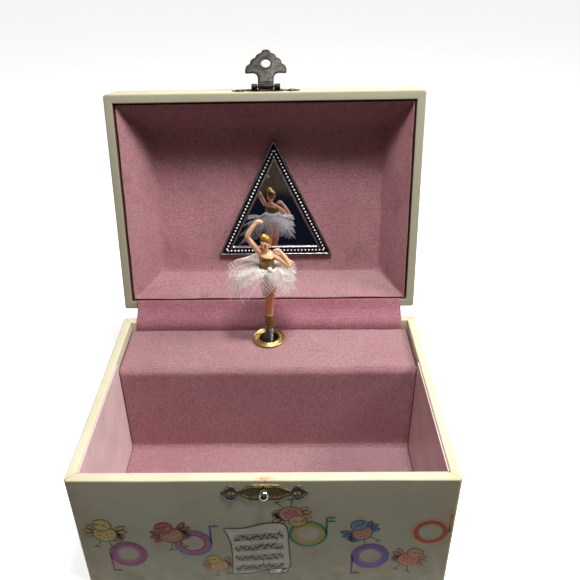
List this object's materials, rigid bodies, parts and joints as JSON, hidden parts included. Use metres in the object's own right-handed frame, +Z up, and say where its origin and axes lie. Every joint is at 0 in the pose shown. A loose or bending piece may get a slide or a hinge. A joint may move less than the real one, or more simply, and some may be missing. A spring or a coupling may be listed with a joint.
{
  "type": "ballerina jewellery box",
  "caption": "Paper-covered musical jewellery box with a hinged lid, a felt-lined tray and a sprung dancer that turns before a triangular mirror as the key unwinds.",
  "frame": {"origin": "centre of the underside of the base, on the surface the box stands on", "axes": "+Z up, -Y towards the front with the catch, +X to the right as seen from the front"},
  "size_m": [0.15, 0.1619, 0.1867],
  "materials": {
    "paper_board": "cream paper glued over paperboard, faintly mottled",
    "grey_card": "raw grey card",
    "felt": "pink flocked felt",
    "lining_paper": "satin pink paper",
    "brass": "worn polished brass",
    "key_metal": "brass-plated, worn",
    "steel": "bright steel",
    "zinc": "die-cast zinc, dull",
    "nickel": "polished nickel",
    "blade_plastic": "moulded plastic",
    "doll_plastic": "moulded plastic with painted dress, hair and shoes",
    "tulle": "stiff white net",
    "pearl": "pearl",
    "frame_metal": "embossed bright metal with dark recesses",
    "mirror": "silvered glass",
    "antique_metal": "dark antique bronze finish"
  },
  "bodies": {
    "base": {"base_bottom": "paper_board", "base_front_wall": "paper_board", "base_rear_wall": "paper_board", "base_left_wall": "paper_board", "base_right_wall": "paper_board", "floor_card": "grey_card", "floor_felt": "felt", "insert_card": "grey_card", "insert_felt": "felt", "paper_lining": "lining_paper", "eyelet": "brass", "movement_bedplate": "zinc", "bedplate_screws": "steel", "spring_housing": "zinc", "mainspring": "steel", "spindle_bracket": "steel", "drum_brackets": "steel", "comb": "steel", "comb_screws": "steel", "governor_frame": "brass", "stud_plate": "brass", "ball_stud": "nickel", "hinge_base_leaves": "brass", "hinge_pins": "steel", "base_nails": "brass", "felt_hinge_strip": "felt"},
    "lid": {"lid_front_wall": "paper_board", "lid_rear_wall": "paper_board", "lid_left_wall": "paper_board", "lid_right_wall": "paper_board", "lid_top": "paper_board", "lid_liner_front": "felt", "lid_liner_rear": "felt", "lid_liner_sides": "felt", "lid_liner_panel": "felt", "mirror_frame": "frame_metal", "mirror_glass": "mirror", "hasp_plate": "antique_metal", "hasp_pin": "antique_metal", "hinge_lid_leaves": "brass", "lid_nails": "brass"},
    "hasp": {"hasp_leaf": "antique_metal"},
    "key": {"winding_arbor": "steel", "crown_wheel": "brass", "winding_key": "key_metal"},
    "spindle": {"spindle": "steel", "spindle_pinion": "brass"},
    "drum": {"drum_arbor": "steel", "pinned_drum": "brass", "drum_gear": "brass"},
    "idler": {"idler": "steel", "worm_wheel": "brass"},
    "fly": {"fly_shaft": "steel", "fly_blades": "blade_plastic"},
    "stop": {"stop_wire": "steel"},
    "figure_spring": {"pop_up_spring": "steel"},
    "dancer": {"dancer_figure": "doll_plastic", "tutu": "tulle", "waist_bead": "pearl"}
  },
  "joints": [
    {"name": "lid_hinge", "type": "hinge", "parent": "base", "child": "lid", "pos_m": [0, 0.05703, 0.06248], "axis": [1, 0, 0], "range_deg": [0, 100.3], "deforming": ["felt_hinge_strip"]},
    {"name": "hasp_hinge", "type": "hinge", "parent": "lid", "child": "hasp", "pos_m": [0.0007, 0.08466, 0.17244], "axis": [1, 0, 0], "range_deg": [-47, 123]},
    {"name": "key_turn", "type": "hinge", "parent": "base", "child": "key", "pos_m": [0.0003, 0.05, 0.03], "axis": [0, 1, 0], "continuous": true},
    {"name": "spindle_spin", "type": "hinge", "parent": "base", "child": "spindle", "pos_m": [0.0003, 0.0407, 0.05], "axis": [0, 0, 1], "continuous": true},
    {"name": "drum_spin", "type": "hinge", "parent": "base", "child": "drum", "pos_m": [0.02, 0.0407, 0.03], "axis": [1, 0, 0], "continuous": true},
    {"name": "idler_spin", "type": "hinge", "parent": "base", "child": "idler", "pos_m": [0.045, 0.0407, 0.0391], "axis": [1, 0, 0], "continuous": true},
    {"name": "fly_spin", "type": "hinge", "parent": "base", "child": "fly", "pos_m": [0.051, 0.03495, 0.0391], "axis": [0, 0, 1], "continuous": true},
    {"name": "stop_slide", "type": "slide", "parent": "base", "child": "stop", "axis": [0, 0, 1], "range_m": [-0.00201, 0]},
    {"name": "figure_fold", "type": "hinge", "parent": "base", "child": "figure_spring", "pos_m": [0.0003, 0.0407, 0.062], "axis": [1, 0, 0], "range_deg": [0, 84.1], "deforming": ["pop_up_spring", "tutu"]},
    {"name": "figure_spin", "type": "hinge", "parent": "figure_spring", "child": "dancer", "pos_m": [0.0003, 0.0407, 0.07], "axis": [0, 0, 1], "continuous": true}
  ],
  "couplings": [
    {"joint": "spindle_spin", "follows": "key_turn", "ratio": -4},
    {"joint": "figure_spin", "follows": "key_turn", "ratio": -4},
    {"joint": "drum_spin", "follows": "key_turn", "ratio": -4},
    {"joint": "idler_spin", "follows": "key_turn", "ratio": 12},
    {"joint": "fly_spin", "follows": "key_turn", "ratio": -72},
    {"joint": "figure_fold", "follows": "lid_hinge", "ratio": 0.8375},
    {"joint": "stop_slide", "follows": "lid_hinge", "m_per_rad": -0.0011425}
  ]
}
